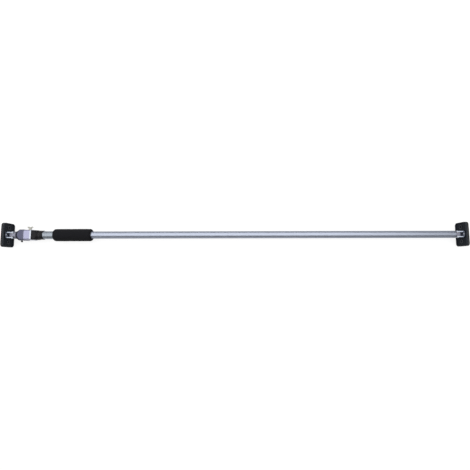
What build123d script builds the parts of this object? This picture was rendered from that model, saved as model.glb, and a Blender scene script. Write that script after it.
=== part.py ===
from build123d import *
import math
import os

# Telescopic support rod, closed and lying on the long edges of its two swivel pads.
# X runs along the rod, Y across it, Z is up. The origin is on the floor, under the middle of the rod.

# Overall length over the outer faces of the two pads
CLOSED_LENGTH = 1605.0

# Clearances
FIT = 0.05
RUNNING = 0.05
SIDE_PLAY = 0.15
SEAT_GAP = 0.3
BORE_CLEARANCE = 0.5

# Pads: rubber sole and moulded carrier
PAD_HEIGHT = 84.0
PAD_WIDTH = 54.0
PAD_CORNER = 10.0
SOLE = 5.5
SOLE_EDGE = 1.0
GROOVE_COUNT = 6
GROOVE_PITCH = 12.0
GROOVE_WIDTH = 2.5
GROOVE_DEPTH = 1.2
GROOVE_MARGIN = 7.0
CARRIER_FLOOR = 2.5
RIM_HEIGHT = 2.5
RIM_WIDTH = 3.5
RIM_EDGE = 1.2
PAD_SCREW_D = 5.2
PAD_SCREW_SPACING = 50.0
PAD_BOSS_D = 13.0
PAD_BOSS_HEIGHT = 1.5
COUNTERSINK_D = 9.5

# Lugs, folded from sheet steel, and their rivets
LUG_SHEET = 3.0
LUG_GAP = 15.0
LUG_BEND = 1.5
LUG_BASE = 40.0
LUG_CORNER = 4.0
EAR_RADIUS = 10.0
EAR_FOOT = 27.0
RIVET_SPACING = 30.0
RIVET_D = 4.0
RIVET_HEAD_D = 7.0
RIVET_HEAD = 1.8
RIVET_DOME_SHARE = 0.8

# Swivel pins, tongues and spacers
PIVOT_D = 6.0
PIVOT_HEAD_D = 10.0
PIVOT_HEAD = 2.0
PIVOT_DOME_SHARE = 0.6
TONGUE = 11.0
TONGUE_CLEARANCE = 0.4
EAR_CLEARANCE = 1.0
SPACER_WALL = 2.5

# Tubes
OUTER_D = 25.0
OUTER_WALL = 1.2
INNER_WALL = 1.5
TELESCOPE_GAP = 1.3

# End plugs
LEFT_BOSS_LENGTH = 8.2
LEFT_BOSS_RIM = 3.0
RIGHT_SHOULDER = 3.0
BOSS_EDGE = 1.0
SPIGOT_LENGTH = 40.0
SPIGOT_CHAMFER = 1.0
PLUG_PIN_D = 4.0

# Bushes
GUIDE_LENGTH = 30.0
GUIDE_FLANGE = 1.5
TAIL_HEAD = 12.0
TAIL_SPIGOT = 20.0
TAIL_PIN_D = 3.0
TAIL_GAP = 5.0

# Clutch housing: tapered nose, block and end plate
CLOSED_GAP = 1.3
NOSE_LENGTH = 31.3
NOSE_MOUTH_WALL = 3.7
NOSE_SLOPE = 33.0
NOSE_PROUD = 0.9
HOUSING_WALL = 7.0
HOUSING_CORNER = 5.0
BLOCK_LENGTH = 21.0
END_PLATE = 5.0
END_PLATE_PROUD = 0.5
END_PLATE_EDGE = 0.6

# Long screws that hold nose, block and end plate to the collar
SCREW_D = 3.0
SCREW_HEAD_D = 5.5
SCREW_HEAD = 3.0
SCREW_HEAD_ROOM = 0.25
SCREW_WALL = 2.15
SCREW_COVER = 0.85
SCREW_SPREAD = 18.0
SCREW_DEPTH = 14.3
SCREW_THREAD = 9.0
HEX_SOCKET = 2.5
HEX_SOCKET_DEPTH = 1.6

# Jam plate, its tab and its spring
JAM_THICKNESS = 3.2
JAM_TILT = 5.0
JAM_CLEARANCE = 0.05
JAM_SIDE = 1.7
JAM_PLACE = 13.0
JAM_FULCRUM_DROP = 2.4
JAM_SHOULDER = 1.0
JAM_TONGUE = 3.0
JAM_PROUD = 1.6
JAM_BELOW = 4.2
JAM_CORNER = 2.0
SLOT_PLAY = 0.4
SLOT_FRONT_PLAY = 0.6
SLOT_SPREAD = 1.5
TAB_WALL = 1.0
TAB_DEPTH = 5.2
TAB_CLEARANCE = 0.8
TAB_EDGE = 1.4
SPRING_WIRE = 1.2
SPRING_TURNS = 3
SPRING_TUBE_GAP = 1.0
SPRING_POCKET_GAP = 0.4
SPRING_POCKET = 7.4
SPRING_SAMPLES = 240

# Wing screw, brake shoe and threaded bush
WING_PLACE = 10.2
WING_THREAD_D = 6.0
WING_LIFT = 2.1
SHOE_D = 9.5
SHOE_CROWN = 1.8
SHOE_SIDE_GAP = 0.25
SHOE_HEADROOM = 0.3
WING_FLANGE = 1.5
WING_FLANGE_RIM = 1.5
WING_HUB_D = 9.0
WING_HUB = 9.5
WING_HUB_ROUND = 1.1
WING_SPAN = 19.5
WING_RISE = 11.5
WING_LOBE = 2.8
WING_ROOT = 3.0
WING_THICKNESS = 2.8
WING_EDGE = 0.8

# Collar and its rivets
COLLAR_LENGTH = 35.0
COLLAR_FLANGE = 11.0
COLLAR_BLEND = 8.0
COLLAR_INSET = 1.3
COLLAR_WALL = 1.8
COLLAR_GROOVE_PLACE = 4.0
COLLAR_GROOVE_WIDTH = 2.0
COLLAR_GROOVE_DEPTH = 0.8
COLLAR_EDGE = 1.5
COLLAR_RIVET_D = 4.0
COLLAR_RIVET_PLACE = 7.0

# Grip
SLEEVE_WALL = 1.4
SLEEVE_INSIDE_FOAM = 5.0
GRIP_BARE = 36.7
FOAM_LENGTH = 130.5
FOAM_WALL = 7.8
FOAM_ROUND = 5.0

# Radii that follow from the tubes
OUTER_R = OUTER_D / 2
OUTER_BORE = OUTER_R - OUTER_WALL
INNER_R = OUTER_BORE - TELESCOPE_GAP
INNER_BORE = INNER_R - INNER_WALL
SLEEVE_BORE = OUTER_R + FIT
SLEEVE_R = SLEEVE_BORE + SLEEVE_WALL
COLLAR_R = SLEEVE_R + FIT + COLLAR_WALL
FOAM_R = SLEEVE_R + FIT + FOAM_WALL
LEFT_BOSS_R = INNER_R + LEFT_BOSS_RIM

# Housing section that follows from the tube, the wall and the long screws
HOUSING_BORE = INNER_R + BORE_CLEARANCE
SCREW_HEAD_POCKET_R = SCREW_HEAD_D / 2 + SCREW_HEAD_ROOM
SCREW_OFFSET = OUTER_R + FIT + SCREW_WALL + SCREW_D / 2
BLOCK_HALF_Y = HOUSING_BORE + HOUSING_WALL
BLOCK_HALF_Z = SCREW_OFFSET + SCREW_HEAD_POCKET_R + SCREW_COVER
NOSE_HALF_Y = BLOCK_HALF_Y + NOSE_PROUD
NOSE_HALF_Z = BLOCK_HALF_Z + NOSE_PROUD
NOSE_MOUTH_R = HOUSING_BORE + NOSE_MOUTH_WALL

# Places along the rod, from the left pad to the right
AXIS_Z = PAD_WIDTH / 2
PAD_FACE = -CLOSED_LENGTH / 2
CARRIER_FACE = PAD_FACE + SOLE
FLOOR_FACE = CARRIER_FACE + CARRIER_FLOOR
LUG_FACE = FLOOR_FACE + LUG_SHEET
PIVOT_X = LUG_FACE + EAR_RADIUS
SHOULDER_FACE = PIVOT_X + EAR_RADIUS + EAR_CLEARANCE
LEFT_TUBE_FACE = SHOULDER_FACE + LEFT_BOSS_LENGTH
NOSE_FACE = LEFT_TUBE_FACE + CLOSED_GAP
BLOCK_FACE = NOSE_FACE + NOSE_LENGTH
END_PLATE_FACE = BLOCK_FACE + BLOCK_LENGTH
COLLAR_FACE = END_PLATE_FACE + END_PLATE
COLLAR_END = COLLAR_FACE + COLLAR_LENGTH
OUTER_FACE = COLLAR_FACE + GUIDE_FLANGE
SLEEVE_FACE = COLLAR_FACE + COLLAR_FLANGE
FOAM_FACE = COLLAR_END + GRIP_BARE
FOAM_END = FOAM_FACE + FOAM_LENGTH
SLEEVE_END = FOAM_END - SLEEVE_INSIDE_FOAM
RIGHT_TUBE_FACE = SHOULDER_FACE + RIGHT_SHOULDER
OUTER_END = -RIGHT_TUBE_FACE
INNER_END = OUTER_END - SPIGOT_LENGTH - TAIL_GAP - TAIL_HEAD
WING_X = BLOCK_FACE + WING_PLACE
COLLAR_RIVET_X = COLLAR_END - COLLAR_RIVET_PLACE

# Jam plate: the fulcrum is the edge that its back face leans on, near the top of the slot
FULCRUM_X = NOSE_FACE + JAM_PLACE
FULCRUM_Y = NOSE_HALF_Y - JAM_FULCRUM_DROP
TILT = math.radians(JAM_TILT)
JAM_HOLE_R = (2 * INNER_R + 2 * JAM_CLEARANCE + JAM_THICKNESS * math.sin(TILT)) / (2 * math.cos(TILT))
JAM_HOLE_DROP = (FULCRUM_Y - JAM_THICKNESS / 2 * math.sin(TILT)) / math.cos(TILT)
JAM_HALF_Z = JAM_HOLE_R + JAM_SIDE
JAM_TOP = NOSE_HALF_Y + JAM_PROUD - FULCRUM_Y
JAM_BOTTOM = -(NOSE_HALF_Y + JAM_BELOW) - FULCRUM_Y
JAM_BODY_BOTTOM = JAM_SHOULDER - NOSE_HALF_Y - FULCRUM_Y
CAVITY_TOP = FULCRUM_Y - JAM_SHOULDER + SLOT_PLAY
SLOT_FRONT = FULCRUM_X - JAM_THICKNESS - SLOT_FRONT_PLAY
SLOT_BACK = FULCRUM_X + SIDE_PLAY
POCKET_FACE = SLOT_FRONT - SPRING_POCKET
SPRING_R = INNER_R + SPRING_TUBE_GAP + SPRING_WIRE / 2
POCKET_R = SPRING_R + SPRING_WIRE / 2 + SPRING_POCKET_GAP

# Wing screw stack, heights above the rod's axis
SHOE_TOP = INNER_R + SHOE_CROWN
BUSH_BOTTOM = SHOE_TOP + WING_LIFT + SHOE_HEADROOM
BUSH_TOP = BLOCK_HALF_Y + WING_FLANGE
SHOE_HOLE_R = SHOE_D / 2 + SHOE_SIDE_GAP
HUB_BOTTOM = BUSH_TOP + SEAT_GAP

# Working planes: across the rod, along it from the side, and along it from above
ACROSS = Plane(origin=(0, 0, AXIS_Z), x_dir=(0, 1, 0), z_dir=(1, 0, 0))
SIDE = Plane(origin=(0, 0, AXIS_Z), x_dir=(1, 0, 0), z_dir=(0, -1, 0))
ABOVE = Plane(origin=(0, 0, AXIS_Z), x_dir=(1, 0, 0), z_dir=(0, 0, 1))
ROD_AXIS = Axis((0, 0, AXIS_Z), (1, 0, 0))


def bar(start, end, sketch):
    """Extrude a section, or several, drawn across the rod, from one place along it to another."""
    return extrude(ACROSS.offset(start) * (Sketch() + sketch), end - start)


def turned(*points):
    """Turn a profile of (place along the rod, radius) points about the rod's axis."""
    return revolve(SIDE * make_face(Polyline(*points, close=True).edges()), ROD_AXIS)


def rod_across(x, start, end, radius):
    """A round bar along Y at a place along the rod."""
    return extrude(Plane(origin=(x, start, AXIS_Z), z_dir=(0, 1, 0)) * Circle(radius), end - start)


def rod_upright(x, half_length, radius):
    """A round bar along Z through the rod's axis."""
    return extrude(Plane(origin=(x, 0, AXIS_Z), z_dir=(0, 0, 1)) * Circle(radius), half_length, both=True)


def plain_tube(start, end, outer_r, inner_r):
    return bar(start, end, Circle(outer_r) - Circle(inner_r))


def flush_half_length(tube_r, pin_r):
    """Half the length of a cross pin whose ends are flush with its tube."""
    return math.sqrt(tube_r ** 2 - pin_r ** 2)


# Pads and lugs are drawn at the left end and mirrored for the right

PAD_SCREW_SPOTS = Locations((PAD_SCREW_SPACING / 2, 0), (-PAD_SCREW_SPACING / 2, 0))
RIVET_SPOTS = Locations((0, RIVET_SPACING / 2), (0, -RIVET_SPACING / 2))


def pad_sole():
    """Rubber sole: rounded plate with grip grooves in its outer face."""
    sole = bar(PAD_FACE, CARRIER_FACE, RectangleRounded(PAD_HEIGHT, PAD_WIDTH, PAD_CORNER))
    sole = fillet(sole.faces().sort_by(Axis.X)[0].edges(), SOLE_EDGE)
    grooves = GridLocations(GROOVE_PITCH, 0, GROOVE_COUNT, 1)
    groove = SlotOverall(PAD_WIDTH - 2 * GROOVE_MARGIN, GROOVE_WIDTH, rotation=90)
    sole -= bar(PAD_FACE, PAD_FACE + GROOVE_DEPTH, grooves * groove)
    return sole - bar(PAD_FACE, CARRIER_FACE, PAD_SCREW_SPOTS * Circle(PAD_SCREW_D / 2))


def pad_plate():
    """Moulded carrier: floor, raised rim, two countersunk screw bosses."""
    rim_top = FLOOR_FACE + RIM_HEIGHT
    boss_top = FLOOR_FACE + PAD_BOSS_HEIGHT
    inside = RectangleRounded(PAD_HEIGHT - 2 * RIM_WIDTH, PAD_WIDTH - 2 * RIM_WIDTH, PAD_CORNER - RIM_WIDTH)
    plate = bar(CARRIER_FACE, rim_top, RectangleRounded(PAD_HEIGHT, PAD_WIDTH, PAD_CORNER))
    plate -= bar(FLOOR_FACE, rim_top, inside)
    plate = fillet(plate.faces().sort_by(Axis.X)[-1].edges(), RIM_EDGE)
    plate += bar(FLOOR_FACE, boss_top, PAD_SCREW_SPOTS * Circle(PAD_BOSS_D / 2))
    sink_depth = (COUNTERSINK_D - PAD_SCREW_D) / 2
    sink = Cone(PAD_SCREW_D / 2, COUNTERSINK_D / 2, sink_depth, align=(Align.CENTER, Align.CENTER, Align.MAX))
    plate -= [ACROSS.offset(boss_top) * spot * sink for spot in PAD_SCREW_SPOTS]
    plate -= bar(CARRIER_FACE, boss_top, PAD_SCREW_SPOTS * Circle(PAD_SCREW_D / 2))
    return plate - bar(CARRIER_FACE, FLOOR_FACE, RIVET_SPOTS * Circle(RIVET_D / 2 + FIT))


def lug():
    """Lug folded from sheet: a base with two round-ended ears."""
    ear_end = PIVOT_X + EAR_RADIUS
    half_outside = LUG_GAP / 2 + LUG_SHEET
    outside = Pos((FLOOR_FACE + ear_end) / 2, 0) * Rectangle(ear_end - FLOOR_FACE, 2 * half_outside)
    inside = Pos((LUG_FACE + ear_end) / 2, 0) * Rectangle(ear_end - LUG_FACE, LUG_GAP)
    outside = fillet(outside.vertices().group_by(Axis.X)[0], LUG_BEND + LUG_SHEET)
    inside = fillet(inside.vertices().group_by(Axis.X)[0], LUG_BEND)
    folded = extrude(ABOVE * (outside - inside), LUG_BASE / 2, both=True)
    foot = Pos((FLOOR_FACE + LUG_FACE) / 2, 0) * Rectangle(LUG_SHEET, EAR_FOOT)
    ear = make_hull((foot + Pos(PIVOT_X, 0) * Circle(EAR_RADIUS)).edges())
    base = Pos((FLOOR_FACE + LUG_FACE) / 2, 0) * Rectangle(LUG_SHEET, LUG_BASE)
    folded &= extrude(SIDE * (ear + base), half_outside, both=True)
    folded &= bar(FLOOR_FACE, ear_end, RectangleRounded(2 * half_outside, LUG_BASE, LUG_CORNER))
    folded -= bar(FLOOR_FACE, LUG_FACE, RIVET_SPOTS * Circle(RIVET_D / 2 + FIT))
    return folded - rod_across(PIVOT_X, -half_outside, half_outside, PIVOT_D / 2 + FIT)


def lug_rivets():
    """Two dome-headed rivets through the lug's base and the carrier's floor."""
    shank = bar(CARRIER_FACE, LUG_FACE, RIVET_SPOTS * Circle(RIVET_D / 2))
    heads = bar(LUG_FACE, LUG_FACE + RIVET_HEAD, RIVET_SPOTS * Circle(RIVET_HEAD_D / 2))
    heads = fillet(heads.faces().group_by(Axis.X)[-1].edges(), RIVET_HEAD * RIVET_DOME_SHARE)
    return shank + heads


def pivot_pin():
    """Swivel pin with a rounded head outside each ear."""
    ear_outside = LUG_GAP / 2 + LUG_SHEET + SIDE_PLAY
    pin = rod_across(PIVOT_X, -ear_outside, ear_outside, PIVOT_D / 2)
    head = rod_across(PIVOT_X, ear_outside, ear_outside + PIVOT_HEAD, PIVOT_HEAD_D / 2)
    head = fillet(head.faces().sort_by(Axis.Y)[-1].edges(), PIVOT_HEAD * PIVOT_DOME_SHARE)
    return pin + head + mirror(head, about=Plane.XZ)


def spacers():
    """A sleeve on the pin at each side of the tongue."""
    start = TONGUE / 2 + FIT
    end = LUG_GAP / 2 - SIDE_PLAY
    spacer = rod_across(PIVOT_X, start, end, PIVOT_D / 2 + FIT + SPACER_WALL)
    spacer -= rod_across(PIVOT_X, start, end, PIVOT_D / 2 + FIT)
    return spacer + mirror(spacer, about=Plane.XZ)


def end_plug(shoulder_r, shoulder_length, spigot_r, tube_r):
    """Plug that fits in a tube's end: tongue with the pivot hole, shoulder and spigot."""
    shoulder_end = SHOULDER_FACE + shoulder_length
    spigot_end = shoulder_end + SPIGOT_LENGTH
    tongue_r = EAR_RADIUS - TONGUE_CLEARANCE
    tongue = Pos(PIVOT_X, 0) * Circle(tongue_r)
    tongue += Pos((PIVOT_X + SHOULDER_FACE) / 2, 0) * Rectangle(SHOULDER_FACE - PIVOT_X, 2 * tongue_r)
    shoulder = bar(SHOULDER_FACE, shoulder_end, Circle(shoulder_r))
    shoulder = fillet(shoulder.faces().sort_by(Axis.X)[0].edges(), BOSS_EDGE)
    spigot = bar(shoulder_end, spigot_end, Circle(spigot_r))
    spigot = chamfer(spigot.faces().sort_by(Axis.X)[-1].edges(), SPIGOT_CHAMFER)
    plug = extrude(SIDE * tongue, TONGUE / 2, both=True) + shoulder + spigot
    plug -= rod_upright(shoulder_end + SPIGOT_LENGTH / 2, tube_r, PLUG_PIN_D / 2 + FIT)
    return plug - rod_across(PIVOT_X, -TONGUE / 2, TONGUE / 2, PIVOT_D / 2 + FIT)


def plug_pin(tube_face, tube_r):
    """Cross pin, flush with the tube that it holds the plug in."""
    return rod_upright(tube_face + SPIGOT_LENGTH / 2, flush_half_length(tube_r, PLUG_PIN_D / 2), PLUG_PIN_D / 2)


# Tubes, bushes and grip


def outer_tube():
    """Outer tube, drilled for the collar's rivets and the right plug's pin."""
    tube = plain_tube(OUTER_FACE, OUTER_END, OUTER_R, OUTER_BORE)
    tube -= rod_across(COLLAR_RIVET_X, -OUTER_R, OUTER_R, COLLAR_RIVET_D / 2 + FIT)
    return tube - rod_upright(OUTER_END - SPIGOT_LENGTH / 2, OUTER_R, PLUG_PIN_D / 2 + FIT)


def inner_tube():
    """Inner tube, drilled for the left plug's pin and the tail bush's pin."""
    tube = plain_tube(LEFT_TUBE_FACE, INNER_END, INNER_R, INNER_BORE)
    tube -= rod_upright(INNER_END - TAIL_SPIGOT / 2, INNER_R, TAIL_PIN_D / 2 + FIT)
    return tube - rod_upright(LEFT_TUBE_FACE + SPIGOT_LENGTH / 2, INNER_R, PLUG_PIN_D / 2 + FIT)


def tail_bush():
    """Nylon bush: spigot in the inner tube's tail, head running in the outer tube."""
    spigot_r = INNER_BORE - FIT
    head_r = OUTER_BORE - RUNNING
    head_end = INNER_END + TAIL_HEAD
    spigot_start = INNER_END - TAIL_SPIGOT
    bush = bar(spigot_start, INNER_END, Circle(spigot_r))
    head = bar(INNER_END, head_end, Circle(head_r))
    bush += chamfer(head.faces().sort_by(Axis.X)[-1].edges(), SPIGOT_CHAMFER)
    return bush - rod_upright(INNER_END - TAIL_SPIGOT / 2, INNER_R, TAIL_PIN_D / 2 + FIT)


def tail_pin():
    """Pin through the inner tube and the tail bush."""
    return rod_upright(INNER_END - TAIL_SPIGOT / 2, flush_half_length(INNER_R, TAIL_PIN_D / 2), TAIL_PIN_D / 2)


def guide_bush():
    """Flanged nylon bush in the outer tube's mouth, bored to run on the inner tube."""
    bore_r = INNER_R + RUNNING
    flange = plain_tube(COLLAR_FACE, OUTER_FACE, OUTER_R, bore_r)
    return flange + plain_tube(OUTER_FACE, OUTER_FACE + GUIDE_LENGTH, OUTER_BORE - FIT, bore_r)


def grip_sleeve():
    """Thin sleeve on the outer tube, from inside the collar to inside the foam."""
    sleeve = plain_tube(SLEEVE_FACE, SLEEVE_END, SLEEVE_R, SLEEVE_BORE)
    return sleeve - rod_across(COLLAR_RIVET_X, -SLEEVE_R, SLEEVE_R, COLLAR_RIVET_D / 2 + FIT)


def foam_grip():
    """Foam hand grip with rounded ends, slit-free, pushed over the sleeve."""
    foam = bar(FOAM_FACE, FOAM_END, Circle(FOAM_R))
    foam = fillet(foam.edges().filter_by(GeomType.CIRCLE), FOAM_ROUND)
    return foam - bar(FOAM_FACE, FOAM_END, Circle(SLEEVE_R + FIT))


# Collar and clutch housing


def rounded_section(half_y, half_z):
    return RectangleRounded(2 * half_y, 2 * half_z, HOUSING_CORNER)


def corner_reach(half_y, half_z):
    """Distance from the axis to the rounded corner of a housing section."""
    return math.hypot(half_y - HOUSING_CORNER, half_z - HOUSING_CORNER) + HOUSING_CORNER


def screw_spots():
    """Both long screws are below the tube, one at each side."""
    return Locations((SCREW_SPREAD / 2, -SCREW_OFFSET), (-SCREW_SPREAD / 2, -SCREW_OFFSET))


def collar():
    """Moulded collar: housing-shaped flange that blends into a grooved round barrel."""
    half_y = BLOCK_HALF_Y - COLLAR_INSET
    half_z = BLOCK_HALF_Z - COLLAR_INSET
    blend_start = COLLAR_FACE + COLLAR_FLANGE
    blend_end = blend_start + COLLAR_BLEND
    reach = corner_reach(half_y, half_z)
    flange = bar(COLLAR_FACE, blend_end, rounded_section(half_y, half_z))
    flange &= turned(
        (COLLAR_FACE, 0),
        (COLLAR_FACE, reach),
        (blend_start, reach),
        (blend_end, COLLAR_R),
        (blend_end, 0),
    )
    barrel = bar(blend_end, COLLAR_END, Circle(COLLAR_R))
    barrel = fillet(barrel.faces().sort_by(Axis.X)[-1].edges(), COLLAR_EDGE)
    groove_start = blend_end + COLLAR_GROOVE_PLACE
    groove_end = groove_start + COLLAR_GROOVE_WIDTH
    barrel -= plain_tube(groove_start, groove_end, COLLAR_R, COLLAR_R - COLLAR_GROOVE_DEPTH)
    body = flange + barrel
    body -= bar(COLLAR_FACE, SLEEVE_FACE, Circle(OUTER_R + FIT))
    body -= bar(SLEEVE_FACE, COLLAR_END, Circle(SLEEVE_R + FIT))
    body -= bar(COLLAR_FACE, COLLAR_FACE + SCREW_THREAD, screw_spots() * Circle(SCREW_D / 2 + FIT))
    return body - rod_across(COLLAR_RIVET_X, -COLLAR_R, COLLAR_R, COLLAR_RIVET_D / 2 + FIT)


def collar_rivets():
    """Two flush rivets through collar, sleeve and outer tube."""
    end = flush_half_length(COLLAR_R, COLLAR_RIVET_D / 2)
    rivet = rod_across(COLLAR_RIVET_X, OUTER_BORE, end, COLLAR_RIVET_D / 2)
    return rivet + mirror(rivet, about=Plane.XZ)


def clutch_block():
    """Cast block: rounded section, bored for tube, shoe, bush and the long screws."""
    block = bar(BLOCK_FACE, END_PLATE_FACE, rounded_section(BLOCK_HALF_Y, BLOCK_HALF_Z))
    block -= bar(BLOCK_FACE, END_PLATE_FACE, Circle(HOUSING_BORE))
    block -= bar(BLOCK_FACE, END_PLATE_FACE, screw_spots() * Circle(SCREW_D / 2 + FIT))
    return block - rod_across(WING_X, 0, BLOCK_HALF_Y, SHOE_HOLE_R)


def end_plate():
    """Bright plate clamped between block and collar, slightly proud of both."""
    section = rounded_section(BLOCK_HALF_Y + END_PLATE_PROUD, BLOCK_HALF_Z + END_PLATE_PROUD)
    plate = bar(END_PLATE_FACE, COLLAR_FACE, section)
    ends = plate.faces().sort_by(Axis.X)
    plate = fillet(ends[0].edges() + ends[-1].edges(), END_PLATE_EDGE)
    plate -= bar(END_PLATE_FACE, COLLAR_FACE, Circle(HOUSING_BORE))
    return plate - bar(END_PLATE_FACE, COLLAR_FACE, screw_spots() * Circle(SCREW_D / 2 + FIT))


def clutch_nose():
    """Cast nose: housing section tapered to the mouth, with spring pocket and stepped jam plate slot."""
    reach = corner_reach(NOSE_HALF_Y, NOSE_HALF_Z)
    taper = (reach - NOSE_MOUTH_R) / math.tan(math.radians(NOSE_SLOPE))
    nose = bar(NOSE_FACE, BLOCK_FACE, rounded_section(NOSE_HALF_Y, NOSE_HALF_Z))
    nose &= turned(
        (NOSE_FACE, 0),
        (NOSE_FACE, NOSE_MOUTH_R),
        (NOSE_FACE + taper, reach),
        (max(NOSE_FACE + taper, BLOCK_FACE), reach),
        (max(NOSE_FACE + taper, BLOCK_FACE), 0),
    )
    nose -= bar(NOSE_FACE, BLOCK_FACE, Circle(HOUSING_BORE))
    nose -= bar(POCKET_FACE, SLOT_FRONT, Circle(POCKET_R))
    spread = (FULCRUM_Y + NOSE_HALF_Y) * math.tan(math.radians(JAM_TILT + SLOT_SPREAD))
    outline = Polyline(
        (SLOT_FRONT, NOSE_HALF_Y),
        (SLOT_BACK, NOSE_HALF_Y),
        (SLOT_BACK, FULCRUM_Y),
        (SLOT_BACK + spread, -NOSE_HALF_Y),
        (SLOT_FRONT, -NOSE_HALF_Y),
        close=True,
    )
    slot = make_face(outline.edges())
    roof = Pos(FULCRUM_X, CAVITY_TOP) * Rectangle(NOSE_LENGTH, NOSE_HALF_Y, align=(Align.CENTER, Align.MIN))
    nose -= extrude(ABOVE * slot, JAM_TONGUE / 2 + SLOT_PLAY, both=True)
    nose -= extrude(ABOVE * (slot - roof), JAM_HALF_Z + SLOT_PLAY, both=True)
    nose -= bar(NOSE_FACE, NOSE_FACE + SCREW_DEPTH, screw_spots() * Circle(SCREW_HEAD_POCKET_R))
    return nose - bar(NOSE_FACE, BLOCK_FACE, screw_spots() * Circle(SCREW_D / 2 + FIT))


def housing_screws():
    """Two socket-head screws along the rod, through nose, block and end plate into the collar."""
    seat = NOSE_FACE + SCREW_DEPTH
    screws = bar(seat - SCREW_HEAD, seat, screw_spots() * Circle(SCREW_HEAD_D / 2))
    screws += bar(seat, COLLAR_FACE + SCREW_THREAD, screw_spots() * Circle(SCREW_D / 2))
    socket = screw_spots() * RegularPolygon(HEX_SOCKET / 2, 6, major_radius=False)
    return screws - bar(seat - SCREW_HEAD, seat - SCREW_HEAD + HEX_SOCKET_DEPTH, socket)


# Jam plate and tab are drawn upright, with the fulcrum at the sketch's origin, and then tilted


def tilted(sketch_solid):
    """Move a piece drawn about the fulcrum to its place and tilt it to its resting angle."""
    return Pos(FULCRUM_X, FULCRUM_Y, AXIS_Z) * Rot(0, 0, JAM_TILT) * sketch_solid


def jam_plate():
    """Steel plate with a tongue at each end and the hole whose edges grip the inner tube."""
    body_height = -JAM_SHOULDER - JAM_BODY_BOTTOM
    body = RectangleRounded(body_height, 2 * JAM_HALF_Z, JAM_CORNER)
    outline = Pos((JAM_BODY_BOTTOM - JAM_SHOULDER) / 2, 0) * body
    outline += Pos((JAM_TOP + JAM_BOTTOM) / 2, 0) * Rectangle(JAM_TOP - JAM_BOTTOM, JAM_TONGUE)
    outline -= Pos(-JAM_HOLE_DROP, 0) * Circle(JAM_HOLE_R)
    face = Plane(origin=(-JAM_THICKNESS, 0, 0), x_dir=(0, 1, 0), z_dir=(1, 0, 0))
    return tilted(extrude(face * outline, JAM_THICKNESS))


def release_tab():
    """Moulded cap on the plate's lower tongue, which a finger pushes."""
    top = -NOSE_HALF_Y - FULCRUM_Y - TAB_CLEARANCE
    middle_x = -JAM_THICKNESS / 2
    cap = Box(JAM_THICKNESS + 2 * TAB_WALL, TAB_DEPTH, JAM_TONGUE + 2 * TAB_WALL)
    cap = fillet(cap.edges().filter_by(Axis.Z).group_by(Axis.Y)[0] + cap.edges().filter_by(Axis.Y), TAB_EDGE)
    pocket_depth = top - JAM_BOTTOM + FIT
    pocket = Box(JAM_THICKNESS + 2 * FIT, pocket_depth, JAM_TONGUE + 2 * FIT)
    tab = Pos(middle_x, top - TAB_DEPTH / 2) * cap
    return tilted(tab - Pos(middle_x, top - pocket_depth / 2) * pocket)


def spring_point(angle, start, pitch):
    x = start + pitch * angle / (2 * math.pi)
    return Vector(x, SPRING_R * math.cos(angle), AXIS_Z + SPRING_R * math.sin(angle))


def spring_direction(angle, pitch):
    return Vector(pitch / (2 * math.pi), -SPRING_R * math.sin(angle), SPRING_R * math.cos(angle)).normalized()


def biarc(start, start_way, end, end_way):
    """Two arcs, tangent to each other, between two points with given directions."""
    chord = end - start
    ways = start_way + end_way
    spread = 2 * (1 - start_way.dot(end_way))
    along = chord.dot(ways)
    reach = (math.sqrt(along ** 2 + spread * chord.dot(chord)) - along) / spread
    middle = (start + end) * 0.5 + (start_way - end_way) * (reach / 2)
    middle_way = (middle - start - start_way * reach).normalized()
    return [TangentArc(start, middle, tangent=start_way), TangentArc(middle, end, tangent=middle_way)]


def jam_spring():
    """Coil spring round the inner tube, from the pocket's end to the plate as it stands when released."""
    start = POCKET_FACE + FIT + SPRING_WIRE / 2
    end = FULCRUM_X - JAM_THICKNESS - FIT - SPRING_WIRE / 2
    pitch = (end - start) / SPRING_TURNS
    quarter = math.pi / 2
    edges = []
    for step in range(4 * SPRING_TURNS):
        a, b = step * quarter, (step + 1) * quarter
        edges += biarc(
            spring_point(a, start, pitch),
            spring_direction(a, pitch),
            spring_point(b, start, pitch),
            spring_direction(b, pitch),
        )
    path = Wire(edges)
    points = [path @ (i / SPRING_SAMPLES) for i in range(SPRING_SAMPLES + 1)]
    half_turn = SPRING_SAMPLES // (2 * SPRING_TURNS)
    gap = min((p - q).length for i, p in enumerate(points) for q in points[i + half_turn:]) - SPRING_WIRE
    print(f"jam spring, least gap between turns {gap:.2f} mm")
    section = Plane(origin=path @ 0, z_dir=path % 0) * Circle(SPRING_WIRE / 2)
    return sweep(section, path=path)


# Wing screw, bush and shoe


def wing_bush():
    """Threaded brass bush with a flange outside the block."""
    bush = rod_across(WING_X, BUSH_BOTTOM, BLOCK_HALF_Y, SHOE_HOLE_R - FIT)
    bush += rod_across(WING_X, BLOCK_HALF_Y, BUSH_TOP, SHOE_HOLE_R + WING_FLANGE_RIM)
    return bush - rod_across(WING_X, BUSH_BOTTOM, BUSH_TOP, WING_THREAD_D / 2 + RUNNING)


def brake_shoe():
    """Nylon shoe with a hollow underside that fits the inner tube."""
    shoe = rod_across(WING_X, 0, SHOE_TOP, SHOE_D / 2)
    return shoe - bar(WING_X - SHOE_D, WING_X + SHOE_D, Circle(INNER_R + JAM_CLEARANCE))


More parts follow.
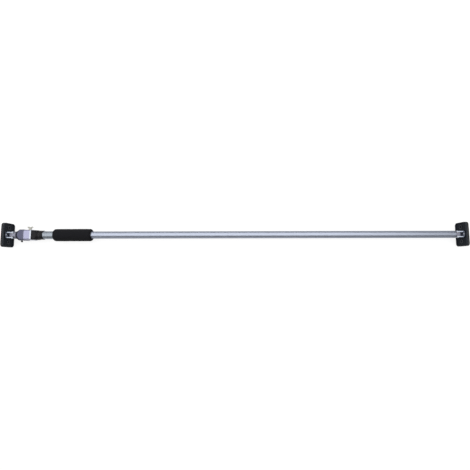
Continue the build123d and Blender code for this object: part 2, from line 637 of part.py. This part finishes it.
def wing_screw():
    """Screw with a round hub and two raised wings."""
    hub_top = HUB_BOTTOM + WING_HUB
    screw = rod_across(WING_X, SHOE_TOP + FIT, HUB_BOTTOM, WING_THREAD_D / 2)
    hub = rod_across(WING_X, HUB_BOTTOM, hub_top, WING_HUB_D / 2)
    screw += fillet(hub.faces().sort_by(Axis.Y)[-1].edges(), WING_HUB_ROUND)
    root = Pos(WING_ROOT, hub_top - WING_LOBE) * Circle(WING_LOBE)
    tip = Pos(WING_SPAN / 2 - WING_LOBE, HUB_BOTTOM + WING_RISE - WING_LOBE) * Circle(WING_LOBE)
    lobe = ABOVE * Pos(WING_X, 0) * make_hull((root + tip).edges())
    wing = extrude(lobe, WING_THICKNESS / 2, both=True)
    wing = fillet(wing.edges().filter_by(Axis.Z, reverse=True), WING_EDGE)
    middle = Plane.YZ.offset(WING_X)
    return screw + wing + mirror(wing, about=middle)


PIECES = {
    "outer_tube": outer_tube(),
    "inner_tube": inner_tube(),
    "tail_bush": tail_bush(),
    "tail_pin": tail_pin(),
    "guide_bush": guide_bush(),
    "grip_sleeve": grip_sleeve(),
    "foam_grip": foam_grip(),
    "collar": collar(),
    "collar_rivets": collar_rivets(),
    "clutch_block": clutch_block(),
    "clutch_nose": clutch_nose(),
    "end_plate": end_plate(),
    "housing_screws": housing_screws(),
    "jam_plate": jam_plate(),
    "release_tab": release_tab(),
    "jam_spring": jam_spring(),
    "wing_bush": wing_bush(),
    "brake_shoe": brake_shoe(),
    "wing_screw": wing_screw(),
    "left_end_plug": end_plug(LEFT_BOSS_R, LEFT_BOSS_LENGTH, INNER_BORE - FIT, INNER_R),
    "left_plug_pin": plug_pin(LEFT_TUBE_FACE, INNER_R),
    "right_end_plug": mirror(end_plug(OUTER_R, RIGHT_SHOULDER, OUTER_BORE - FIT, OUTER_R), about=Plane.YZ),
    "right_plug_pin": mirror(plug_pin(RIGHT_TUBE_FACE, OUTER_R), about=Plane.YZ),
}

for maker in (pivot_pin, spacers, lug, lug_rivets, pad_plate, pad_sole):
    left_piece = maker()
    PIECES[f"left_{maker.__name__}"] = left_piece
    PIECES[f"right_{maker.__name__}"] = mirror(left_piece, about=Plane.YZ)

os.makedirs("parts", exist_ok=True)
for node, piece in PIECES.items():
    export_step(piece, f"parts/{node}.step")
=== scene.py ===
import math

import bmesh
import bpy
from bpy.props import FloatProperty, FloatVectorProperty, IntProperty, PointerProperty
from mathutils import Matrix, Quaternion, Vector, noise


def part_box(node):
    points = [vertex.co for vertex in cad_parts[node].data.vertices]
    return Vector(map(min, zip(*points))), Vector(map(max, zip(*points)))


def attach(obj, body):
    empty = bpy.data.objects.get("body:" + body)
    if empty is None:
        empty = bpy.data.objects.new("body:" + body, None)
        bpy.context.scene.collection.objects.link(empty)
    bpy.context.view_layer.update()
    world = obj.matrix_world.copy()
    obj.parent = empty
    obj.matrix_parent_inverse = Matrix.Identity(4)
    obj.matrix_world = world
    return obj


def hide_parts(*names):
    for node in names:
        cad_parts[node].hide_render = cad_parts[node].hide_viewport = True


bl_info = {
    "name": "Telescopic support rod",
    "version": (1, 0, 0),
    "blender": (4, 5, 0),
    "location": "View3D > Sidebar > Support rod",
    "description": "Finishes, foam grip, floor, lamp and camera for a telescopic support rod",
    "category": "Object",
}

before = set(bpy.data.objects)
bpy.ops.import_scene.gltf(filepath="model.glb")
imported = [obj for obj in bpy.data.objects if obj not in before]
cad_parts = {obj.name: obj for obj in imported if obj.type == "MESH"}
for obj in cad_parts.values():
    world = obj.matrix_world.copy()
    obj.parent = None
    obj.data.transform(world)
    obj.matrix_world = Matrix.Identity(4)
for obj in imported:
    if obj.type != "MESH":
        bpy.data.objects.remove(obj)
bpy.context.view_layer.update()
FOAM_LOW, FOAM_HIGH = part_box("foam_grip")
SLEEVE_LOW, SLEEVE_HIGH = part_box("grip_sleeve")
ROD_HEIGHT = (FOAM_LOW.z + FOAM_HIGH.z) / 2

# A millimetre and a micron, in metres
MM = 0.001
MICRON = 0.000001

# Width of the soft mottling that every finish has
MOTTLE_WIDTH = 12 * MM

# Share by which the grain roughens and smooths a finish's gloss
GLOSS_SPREAD = 0.2

# Fewer directions under the surface are open near a corner: their share where the corner starts to be painted
# pale, and is fully pale.
# That paleness is worn by rubbing, and on the pads it is also a painted highlight
PALE_CORNER_STARTS = 0.95
PALE_CORNER_FULL = 0.55

# How dark the painted shade in a cut foam cell's pit is, and how light the painted light on its wall is
PIT_PAINTED_SHADE = 0.7
WALL_PAINTED_LIGHT = 1.2

# Distance of that wall from the cell's middle, and depth of the pit, in cell widths
WALL_PLACE = 0.7
PIT_DEPTH = 0.2

# Slow waves of the foam's skin: to a metre along the grip, and to its radius across
WAVES_ALONG = 60
WAVES_ACROSS = 2


def linear(hex_colour):
    """Turn an sRGB hex colour into linear red, green and blue."""
    channels = [int(hex_colour[i:i + 2], 16) / 255 for i in (1, 3, 5)]
    return tuple(c / 12.92 if c <= 0.04045 else ((c + 0.055) / 1.055) ** 2.4 for c in channels)


def shaded(colour, share):
    """A linear colour with alpha, lighter or darker by a share."""
    return (*(c * share for c in colour), 1.0)


def add(tree, kind, inputs=(), **settings):
    """Add a shader node, set its settings, and set or link its inputs."""
    made = tree.nodes.new(kind)
    for name, value in settings.items():
        setattr(made, name, value)
    for name, value in dict(inputs).items():
        if isinstance(value, bpy.types.NodeSocket):
            tree.links.new(value, made.inputs[name])
        else:
            made.inputs[name].default_value = value
    return made


def empty_material(name):
    """A new material without nodes, and its node tree."""
    material = bpy.data.materials.new(name)
    material.use_nodes = True
    material.node_tree.nodes.clear()
    return material, material.node_tree


def dress(material, *nodes):
    """Give CAD nodes a finish."""
    for node in nodes:
        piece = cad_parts[node]
        for slot in piece.material_slots:
            slot.material = material


def both_ends(*names):
    """Nodes that the left and the right end both have."""
    return [f"{side}_{name}" for side in ("left", "right") for name in names]


# Finishes


def grained_surface(
    name, colour, metallic, roughness, grain, relief,
    stretch=1.0, mottle=0.05, specular=0.5, edge=1.0, wear_and_glint=0.0, reach_in=0.0,
):
    """A finish with one fine grain that lifts the surface and roughens its gloss, and broad soft mottling.

    grain, relief and rub are metres. stretch under 1 draws the grain out along the rod. edge under 1 is a
    metal whose plating dulls it where it turns away from the eye. wear is how pale the piece's corners are
    painted: worn by rubbing, and on the pads also a painted highlight. rub is how far in from the corner that
    reaches.
    """
    material, tree = empty_material(name)
    place = add(tree, "ShaderNodeTexCoord").outputs["Object"]
    drawn_out = add(tree, "ShaderNodeVectorMath", {0: place, 1: (stretch, 1.0, 1.0)}, operation="MULTIPLY")
    fine = add(tree, "ShaderNodeTexNoise", {
        "Vector": drawn_out.outputs[0],
        "Scale": 1 / grain,
        "Detail": 3.0,
    })
    broad = add(tree, "ShaderNodeTexNoise", {"Vector": place, "Scale": 1 / MOTTLE_WIDTH, "Detail": 2.0})
    tint = add(tree, "ShaderNodeMix", {
        "Factor": broad.outputs["Fac"],
        "A": shaded(colour, 1.0),
        "B": shaded(colour, 1 - mottle),
    }, data_type="RGBA")
    # Pale corners: worn by rubbing, and on the pads also a painted highlight on the rim and screw bosses
    if wear_and_glint:
        corner = add(tree, "ShaderNodeAmbientOcclusion", {
            "Distance": reach_in,
        }, samples=8, inside=True, only_local=True)
        pale_corners = add(tree, "ShaderNodeMapRange", {
            "Value": corner.outputs["AO"],
            "From Min": PALE_CORNER_STARTS,
            "From Max": PALE_CORNER_FULL,
            "To Max": wear_and_glint,
        })
        halfway_to_white = (*((1 + c) / 2 for c in colour), 1.0)
        tint = add(tree, "ShaderNodeMix", {
            "Factor": pale_corners.outputs["Result"],
            "A": tint.outputs["Result"],
            "B": halfway_to_white,
        }, data_type="RGBA")
    gloss = add(tree, "ShaderNodeMapRange", {
        "Value": fine.outputs["Fac"],
        "To Min": roughness * (1 - GLOSS_SPREAD),
        "To Max": roughness * (1 + GLOSS_SPREAD),
    })
    lift = add(tree, "ShaderNodeBump", {"Height": fine.outputs["Fac"], "Distance": relief, "Strength": 1.0})
    shader = add(tree, "ShaderNodeBsdfPrincipled", {
        "Base Color": tint.outputs["Result"],
        "Metallic": metallic,
        "Specular IOR Level": specular,
        "Specular Tint": (edge, edge, edge, 1.0),
        "Roughness": gloss.outputs["Result"],
        "Normal": lift.outputs["Normal"],
    })
    add(tree, "ShaderNodeOutputMaterial", {"Surface": shader.outputs["BSDF"]})
    return material


def closed_cell_foam(name, colour, cell):
    """Black rubber foam: dull, with a shallow pit where each cell is cut, painted shade in that pit and
    painted light on the cell's wall, and a soft sheen at its edge.
    """
    material, tree = empty_material(name)
    place = add(tree, "ShaderNodeTexCoord").outputs["Object"]
    cells = add(tree, "ShaderNodeTexVoronoi", {"Vector": place, "Scale": 1 / cell, "Randomness": 1.0})
    pit_relief_and_shade = add(tree, "ShaderNodeMapRange", {"Value": cells.outputs["Distance"], "From Max": WALL_PLACE})
    # Painted shade: each pit darker and each cell wall lighter than the foam's own colour
    tint = add(tree, "ShaderNodeMix", {
        "Factor": pit_relief_and_shade.outputs["Result"],
        "A": shaded(colour, PIT_PAINTED_SHADE),
        "B": shaded(colour, WALL_PAINTED_LIGHT),
    }, data_type="RGBA")
    lift = add(tree, "ShaderNodeBump", {
        "Height": pit_relief_and_shade.outputs["Result"],
        "Distance": cell * PIT_DEPTH,
        "Strength": 0.6,
    })
    shader = add(tree, "ShaderNodeBsdfPrincipled", {
        "Base Color": tint.outputs["Result"],
        "Roughness": 0.9,
        "Specular IOR Level": 0.1,
        "Sheen Weight": 0.03,
        "Sheen Roughness": 0.5,
        "Normal": lift.outputs["Normal"],
    })
    add(tree, "ShaderNodeOutputMaterial", {"Surface": shader.outputs["BSDF"]})
    return material


def white_floor(colour, lift):
    """Matt paper floor that shows white and keeps the shadow that falls on it."""
    material, tree = empty_material("paper_matt_white")
    ray = add(tree, "ShaderNodeLightPath")
    seen = add(tree, "ShaderNodeMath", {
        0: ray.outputs["Is Camera Ray"],
        1: ray.outputs["Is Glossy Ray"],
    }, operation="MAXIMUM")
    seen = add(tree, "ShaderNodeMath", {
        0: seen.outputs[0],
        1: ray.outputs["Is Transmission Ray"],
    }, operation="MAXIMUM")
    strength = add(tree, "ShaderNodeMath", {0: seen.outputs[0], 1: lift}, operation="MULTIPLY")
    paper = add(tree, "ShaderNodeBsdfDiffuse", {"Color": (*colour, 1.0)})
    glow = add(tree, "ShaderNodeEmission", {"Strength": strength.outputs[0]})
    both = add(tree, "ShaderNodeAddShader", {0: paper.outputs[0], 1: glow.outputs[0]})
    add(tree, "ShaderNodeOutputMaterial", {"Surface": both.outputs[0]})
    return material


# Settings that a user would change


def colour_property(name, description, hex_colour):
    return FloatVectorProperty(
        name=name, description=description, subtype="COLOR", default=linear(hex_colour),
        size=3, min=0.0, max=1.0,
    )


def length_property(name, description, default, **limits):
    return FloatProperty(
        name=name, description=description, subtype="DISTANCE", unit="LENGTH", default=default, **limits
    )


def angle_property(name, description, degrees):
    return FloatProperty(
        name=name, description=description, subtype="ANGLE", unit="ROTATION", default=math.radians(degrees)
    )


class SupportRodFinishes(bpy.types.PropertyGroup):
    """Colours and grain sizes of the rod's finishes"""

    plated_tube: colour_property("Plated tube", "Bright zinc plate on the outer and inner tube", "#a4aab8")
    sleeve: colour_property("Sleeve", "Satin aluminium sleeve between collar and foam", "#9198a0")
    block: colour_property("Block", "Polished casting that carries the wing screw", "#9191a8")
    end_plate: colour_property("End plate", "Bright zinc plated plate behind the block", "#b4b8c2")
    nose: colour_property("Nose", "Tumbled casting with the jam plate's slot", "#5e5f72")
    plug: colour_property("End plug", "Tumbled casting with the swivel tongue", "#9394a2")
    lug: colour_property("Lug", "Zinc plated folded sheet", "#9da4b1")
    fastener: colour_property("Fasteners", "Zinc plated pins, rivets and screws", "#a9adb3")
    wing: colour_property("Wing screw", "Plated casting, slightly yellow", "#acaca5")
    jam_plate: colour_property("Jam plate", "Ground spring steel", "#8f9196")
    spring: colour_property("Spring", "Oiled spring wire", "#6e6f73")
    brass: colour_property("Brass", "Turned brass bush", "#b08d4a")
    black_nylon: colour_property("Black nylon", "Moulded collar and release tab", "#0e0e13")
    natural_nylon: colour_property("Natural nylon", "Moulded bushes, shoe and spacers", "#d9d5c6")
    pad: colour_property("Pad", "Moulded pad carrier", "#23272e")
    sole: colour_property("Sole", "Rubber sole", "#30302f")
    foam: colour_property("Foam", "Closed cell grip foam", "#141417")
    # Real die lines, casting skin, mould grain and foam cells are 0.02 to 0.3 mm wide, too fine to show in a
    # picture of the whole rod, so each is drawn as coarse as it needs to be seen
    drawn_line: length_property(
        "Drawn line", "Width of the lines that the die leaves along a tube", 0.6 * MM, min=0.1 * MM
    )
    cast_grain: length_property("Cast grain", "Grain of a tumbled casting's skin", 0.8 * MM, min=0.1 * MM)
    moulded_grain: length_property("Moulded grain", "Grain of a spark-eroded mould", 0.5 * MM, min=0.1 * MM)
    foam_cell: length_property("Foam cell", "Width of the foam's cells", 1.1 * MM, min=0.2 * MM)
    # The corners are painted pale this far in: worn by rubbing, and on the pads also a painted highlight
    pale_corner_reach: length_property(
        "Rubbed corner", "How far in from a corner the finish is rubbed pale by handling",
        1.2 * MM, min=0.2 * MM, max=2.0 * MM,
    )


class SupportRodFoam(bpy.types.PropertyGroup):
    """Shape of the foam grip"""

    end_round: length_property(
        "End rounding", "Radius of the rounded ends", 6.2 * MM, min=1.0 * MM, max=7.0 * MM
    )
    unevenness: length_property(
        "Unevenness", "How far the skin wanders from a true cylinder", 0.3 * MM, min=0.0, max=1.0 * MM
    )
    segments: IntProperty(name="Segments", description="Faces round the grip", default=80, min=16, max=160)
    rings: IntProperty(name="Rings", description="Faces along the grip", default=96, min=8, max=200)
    end_steps: IntProperty(name="End steps", description="Faces round each end", default=6, min=2, max=24)


class SupportRodStage(bpy.types.PropertyGroup):
    """Floor, lamp and camera"""

    floor: colour_property("Floor", "Paper under the rod", "#888888")
    floor_size: length_property("Floor size", "Side of the floor", 30.0, min=2.0)
    floor_lift: FloatProperty(
        name="Floor lift", description="Light added to the floor where it is seen, to bring it to white",
        default=0.8, min=0.0,
    )
    air: FloatProperty(
        name="Room light", description="Strength of the light from all round", default=0.25, min=0.0
    )
    softbox: FloatProperty(
        name="Softbox", description="Power of the large lamp overhead", subtype="POWER", unit="POWER",
        default=91.8, min=0.0,
    )
    softbox_place: FloatVectorProperty(
        name="Softbox place", description="Middle of the large lamp", subtype="TRANSLATION", unit="LENGTH",
        default=(-0.35, 0.95, 1.6),
    )
    softbox_size: FloatVectorProperty(
        name="Softbox size", description="Length and width of the large lamp", subtype="XYZ", unit="LENGTH",
        size=2, default=(4.3, 3.9),
    )
    aim: FloatVectorProperty(
        name="Camera aim", description="Point that the camera looks at, measured from the middle of the rod",
        subtype="TRANSLATION", unit="LENGTH", default=(0.0, -0.0008, 0.0),
    )
    distance: length_property("Camera distance", "From the point it looks at", 1.10, min=0.2)
    elevation: angle_property("Camera elevation", "Angle above the floor", 84.5)
    roll: angle_property("Camera roll", "Turn about the line of sight", -0.12)
    lens: FloatProperty(
        name="Lens", description="Focal length on a 36 mm sensor, in millimetres", default=24.01, min=8.0
    )


# Steps that dress the rod


class SUPPORTROD_OT_tubes(bpy.types.Operator):
    """Dress the tubes, the sleeve and the bushes that guide them"""

    bl_idname = "supportrod.tubes"
    bl_label = "Tubes and bushes"

    def execute(self, context):
        look = context.scene.support_rod_finishes
        # Drawn steel under bright zinc: cool, bluish, fine lines along the tube that stretch the reflections
        plated = grained_surface(
            "steel_drawn_zinc_plated", look.plated_tube, metallic=1.0, roughness=0.42,
            grain=look.drawn_line, relief=2 * MICRON, stretch=0.01, mottle=0.06, edge=0.2,
        )
        dress(plated, "outer_tube", "inner_tube")
        # Satin drawn aluminium: the same lines, duller and darker
        satin = grained_surface(
            "aluminium_drawn_satin", look.sleeve, metallic=1.0, roughness=0.42,
            grain=look.drawn_line, relief=6 * MICRON, stretch=0.01,
        )
        dress(satin, "grip_sleeve")
        # Unpigmented moulded nylon: waxy cream with a soft gloss
        waxy = grained_surface(
            "nylon_moulded_natural", look.natural_nylon, metallic=0.0, roughness=0.45,
            grain=look.moulded_grain, relief=10 * MICRON,
        )
        dress(waxy, "guide_bush", "tail_bush", "brake_shoe", *both_ends("spacers"))
        return {"FINISHED"}


class SUPPORTROD_OT_housing(bpy.types.Operator):
    """Dress the clutch housing: block, end plate, nose and collar"""

    bl_idname = "supportrod.housing"
    bl_label = "Clutch housing"

    def execute(self, context):
        look = context.scene.support_rod_finishes
        # Polished die casting: bright, slightly violet, a soft orange peel twice as wide as the cast grain
        polished = grained_surface(
            "zinc_die_cast_polished", look.block, metallic=1.0, roughness=0.28,
            grain=look.cast_grain * 2, relief=4 * MICRON, mottle=0.08, wear_and_glint=0.3, reach_in=look.pale_corner_reach,
        )
        dress(polished, "clutch_block")
        # Blanked steel plate under bright zinc: the lightest metal here, almost white where it faces the lamp
        bright = grained_surface(
            "steel_plate_zinc_plated", look.end_plate, metallic=1.0, roughness=0.3,
            grain=look.drawn_line, relief=3 * MICRON,
        )
        dress(bright, "end_plate")
        # Tumbled die casting: grey, an even grain that spreads the light, corners rubbed bright in the barrel
        tumbled = grained_surface(
            "zinc_die_cast_tumbled", look.nose, metallic=1.0, roughness=0.5,
            grain=look.cast_grain, relief=50 * MICRON, mottle=0.15, wear_and_glint=0.35, reach_in=look.pale_corner_reach,
        )
        dress(tumbled, "clutch_nose")
        # Moulded black nylon: near black, satin gloss broken by the mould's fine grain, corners scuffed grey
        black = grained_surface(
            "nylon_moulded_black", look.black_nylon, metallic=0.0, roughness=0.5,
            grain=look.moulded_grain, relief=30 * MICRON, mottle=0.2, specular=0.2,
            wear_and_glint=0.05, reach_in=look.pale_corner_reach,
        )
        dress(black, "collar", "release_tab")
        return {"FINISHED"}


class SUPPORTROD_OT_clutch(bpy.types.Operator):
    """Dress the jam plate, its spring and the wing screw with its bush"""

    bl_idname = "supportrod.clutch"
    bl_label = "Jam plate and wing screw"

    def execute(self, context):
        look = context.scene.support_rod_finishes
        # Ground hardened steel: cool grey with a fine even scratch
        ground = grained_surface(
            "steel_ground_hardened", look.jam_plate, metallic=1.0, roughness=0.35,
            grain=look.drawn_line, relief=5 * MICRON, mottle=0.1,
        )
        dress(ground, "jam_plate")
        # Oiled spring wire: dark steel with a sharp small highlight
        oiled = grained_surface(
            "steel_wire_oiled", look.spring, metallic=1.0, roughness=0.3,
            grain=look.drawn_line, relief=2 * MICRON,
        )
        dress(oiled, "jam_spring")
        # Turned brass: warm yellow with fine turning marks
        turned = grained_surface(
            "brass_turned", look.brass, metallic=1.0, roughness=0.3,
            grain=look.drawn_line, relief=4 * MICRON,
        )
        dress(turned, "wing_bush")
        # Plated die casting: yellowish grey with a soft cast skin
        plated = grained_surface(
            "zinc_die_cast_plated", look.wing, metallic=1.0, roughness=0.38,
            grain=look.cast_grain, relief=20 * MICRON, mottle=0.12, wear_and_glint=0.35, reach_in=look.pale_corner_reach,
        )
        dress(plated, "wing_screw")
        return {"FINISHED"}


class SUPPORTROD_OT_ends(bpy.types.Operator):
    """Dress the swivel ends: plugs, lugs, pins, rivets and screws"""

    bl_idname = "supportrod.ends"
    bl_label = "Swivel ends and fasteners"

    def execute(self, context):
        look = context.scene.support_rod_finishes
        # Tumbled die casting, uncoated: violet grey and dull
        tumbled = grained_surface(
            "zinc_die_cast_raw", look.plug, metallic=1.0, roughness=0.55,
            grain=look.cast_grain, relief=50 * MICRON, mottle=0.2, wear_and_glint=0.25, reach_in=look.pale_corner_reach,
        )
        dress(tumbled, *both_ends("end_plug"))
        # Folded sheet under bright zinc: flat, bright, faint rolling lines
        sheet = grained_surface(
            "steel_sheet_zinc_plated", look.lug, metallic=1.0, roughness=0.32,
            grain=look.drawn_line, relief=4 * MICRON, mottle=0.1,
        )
        dress(sheet, *both_ends("lug"))
        # Zinc plated fasteners: bright grey, slightly rough
        plated = grained_surface(
            "steel_headed_zinc_plated", look.fastener, metallic=1.0, roughness=0.35,
            grain=look.drawn_line, relief=4 * MICRON, mottle=0.1,
        )
        dress(plated, "tail_pin", "housing_screws", "collar_rivets")
        dress(plated, *both_ends("plug_pin", "pivot_pin", "lug_rivets"))
        return {"FINISHED"}


class SUPPORTROD_OT_pads(bpy.types.Operator):
    """Dress the two pads: moulded carrier and rubber sole"""

    bl_idname = "supportrod.pads"
    bl_label = "Pads"

    def execute(self, context):
        look = context.scene.support_rod_finishes
        # Moulded ABS: bluish black with a faint sheen on its flat faces; rim and screw bosses painted pale,
        # partly scuffed grey and partly a painted highlight
        moulded = grained_surface(
            "abs_moulded_black", look.pad, metallic=0.0, roughness=0.4,
            grain=look.moulded_grain, relief=40 * MICRON, mottle=0.2, specular=0.04,
            wear_and_glint=0.25, reach_in=look.pale_corner_reach,
        )
        dress(moulded, *both_ends("pad_plate"))
        # Moulded rubber: grey black and dull, with a slight bloom
        rubber = grained_surface(
            "rubber_moulded_black", look.sole, metallic=0.0, roughness=0.65,
            grain=look.moulded_grain, relief=40 * MICRON, mottle=0.2, specular=0.05,
        )
        dress(rubber, *both_ends("pad_sole"))
        return {"FINISHED"}


class SUPPORTROD_OT_foam(bpy.types.Operator):
    """Make the foam grip on the sleeve"""

    bl_idname = "supportrod.foam"
    bl_label = "Foam grip"

    def execute(self, context):
        look = context.scene.support_rod_finishes
        shape = context.scene.support_rod_foam
        mesh = bpy.data.meshes.new("grip_foam")
        foam = bpy.data.objects.new("grip_foam", mesh)
        context.scene.collection.objects.link(foam)
        self.lathe(mesh, shape)
        mesh.materials.append(closed_cell_foam("foam_rubber_closed_cell", look.foam, look.foam_cell))
        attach(foam, "outer_rod")
        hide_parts("foam_grip")
        return {"FINISHED"}

    def profile(self, shape, outer, bore):
        """Points of (place along the rod, radius) from the bore round the outside and back to the bore."""
        arc = [math.pi / 2 * i / shape.end_steps for i in range(shape.end_steps + 1)]
        inset = [shape.end_round * (1 - math.sin(a)) for a in arc]
        radii = [outer - shape.end_round + shape.end_round * math.cos(a) for a in arc]
        start = [(FOAM_LOW.x + x, r) for x, r in zip(inset, radii)]
        end = [(FOAM_HIGH.x - x, r) for x, r in zip(inset, radii)]
        left, right = start[0][0], end[0][0]
        body = [(left + (right - left) * i / shape.rings, outer) for i in range(1, shape.rings)]
        return [(FOAM_LOW.x, bore), *reversed(start), *body, *end, (FOAM_HIGH.x, bore)]

    def lathe(self, mesh, shape):
        """Turn the grip's profile about the rod's axis, with a skin that wanders a little."""
        outer = (FOAM_HIGH.z - FOAM_LOW.z) / 2
        bore = (SLEEVE_HIGH.z - SLEEVE_LOW.z) / 2
        made = bmesh.new()
        rings = []
        for x, radius in self.profile(shape, outer, bore):
            ring = []
            for step in range(shape.segments):
                turn = 2 * math.pi * step / shape.segments
                y, z = math.cos(turn), math.sin(turn)
                wander = noise.noise(Vector((x * WAVES_ALONG, y * WAVES_ACROSS, z * WAVES_ACROSS))) - 1
                reach = radius + shape.unevenness * wander if radius > bore else radius
                ring.append(made.verts.new((x, reach * y, ROD_HEIGHT + reach * z)))
            rings.append(ring)
        for near, far in zip(rings, rings[1:] + rings[:1]):
            for i in range(shape.segments):
                j = (i + 1) % shape.segments
                face = made.faces.new((near[i], near[j], far[j], far[i]))
                face.smooth = True
        bmesh.ops.recalc_face_normals(made, faces=made.faces)
        made.to_mesh(mesh)
        made.free()


class SUPPORTROD_OT_stage(bpy.types.Operator):
    """Lay the floor and set the lamp and the camera"""

    bl_idname = "supportrod.stage"
    bl_label = "Floor, lamp and camera"

    def execute(self, context):
        scene = context.scene
        stage = scene.support_rod_stage
        scene.view_settings.view_transform = "Standard"
        self.floor(scene, stage)
        self.air(scene, stage)
        self.softbox(scene, stage)
        self.camera(scene, stage)
        return {"FINISHED"}

    def floor(self, scene, stage):
        """The paper that the rod lies on."""
        half = stage.floor_size / 2
        mesh = bpy.data.meshes.new("floor")
        corners = [(-half, -half, 0), (half, -half, 0), (half, half, 0), (-half, half, 0)]
        mesh.from_pydata(corners, [], [(0, 1, 2, 3)])
        mesh.materials.append(white_floor(stage.floor, stage.floor_lift))
        floor = bpy.data.objects.new("floor", mesh)
        scene.collection.objects.link(floor)

    def air(self, scene, stage):
        """Even light from all round."""
        scene.world = bpy.data.worlds.new("room_air")
        scene.world.use_nodes = True
        background = scene.world.node_tree.nodes["Background"]
        background.inputs["Color"].default_value = (1.0, 1.0, 1.0, 1.0)
        background.inputs["Strength"].default_value = stage.air

    def softbox(self, scene, stage):
        """One large lamp overhead, facing down."""
        lamp = bpy.data.lights.new("softbox", "AREA")
        lamp.shape = "RECTANGLE"
        lamp.size, lamp.size_y = stage.softbox_size
        lamp.energy = stage.softbox
        softbox = bpy.data.objects.new("softbox", lamp)
        softbox.location = stage.softbox_place
        scene.collection.objects.link(softbox)

    def camera(self, scene, stage):
        """A wide lens above the middle of the rod."""
        lens = bpy.data.cameras.new("camera")
        lens.sensor_width = 36.0
        lens.lens = stage.lens
        lens.clip_start = 0.01
        lens.clip_end = 100.0
        camera = bpy.data.objects.new("camera", lens)
        back = Vector((0.0, -math.cos(stage.elevation), math.sin(stage.elevation)))
        camera.location = Vector((0.0, 0.0, ROD_HEIGHT)) + Vector(stage.aim) + back * stage.distance
        camera.rotation_mode = "QUATERNION"
        camera.rotation_quaternion = (-back).to_track_quat("-Z", "Y") @ Quaternion((0, 0, 1), stage.roll)
        scene.collection.objects.link(camera)
        scene.camera = camera


class SUPPORTROD_PT_panel(bpy.types.Panel):
    """Lists the rod's settings and the steps that dress it"""

    bl_idname = "SUPPORTROD_PT_panel"
    bl_label = "Support rod"
    bl_space_type = "VIEW_3D"
    bl_region_type = "UI"
    bl_category = "Support rod"

    def draw(self, context):
        scene = context.scene
        for group in (scene.support_rod_finishes, scene.support_rod_foam, scene.support_rod_stage):
            box = self.layout.box()
            for name in group.__annotations__:
                box.prop(group, name)
        for step in STEPS:
            self.layout.operator(step.bl_idname)


GROUPS = {
    "support_rod_finishes": SupportRodFinishes,
    "support_rod_foam": SupportRodFoam,
    "support_rod_stage": SupportRodStage,
}
STEPS = (
    SUPPORTROD_OT_stage,
    SUPPORTROD_OT_tubes,
    SUPPORTROD_OT_housing,
    SUPPORTROD_OT_clutch,
    SUPPORTROD_OT_ends,
    SUPPORTROD_OT_pads,
    SUPPORTROD_OT_foam,
)
CLASSES = (*GROUPS.values(), *STEPS, SUPPORTROD_PT_panel)


def register():
    for kind in CLASSES:
        bpy.utils.register_class(kind)
    for name, group in GROUPS.items():
        setattr(bpy.types.Scene, name, PointerProperty(type=group))


def unregister():
    for name in GROUPS:
        delattr(bpy.types.Scene, name)
    for kind in reversed(CLASSES):
        bpy.utils.unregister_class(kind)


def main():
    register()
    bpy.ops.supportrod.stage()
    bpy.ops.supportrod.tubes()
    bpy.ops.supportrod.housing()
    bpy.ops.supportrod.clutch()
    bpy.ops.supportrod.ends()
    bpy.ops.supportrod.pads()
    bpy.ops.supportrod.foam()


if __name__ == "__main__":
    main()
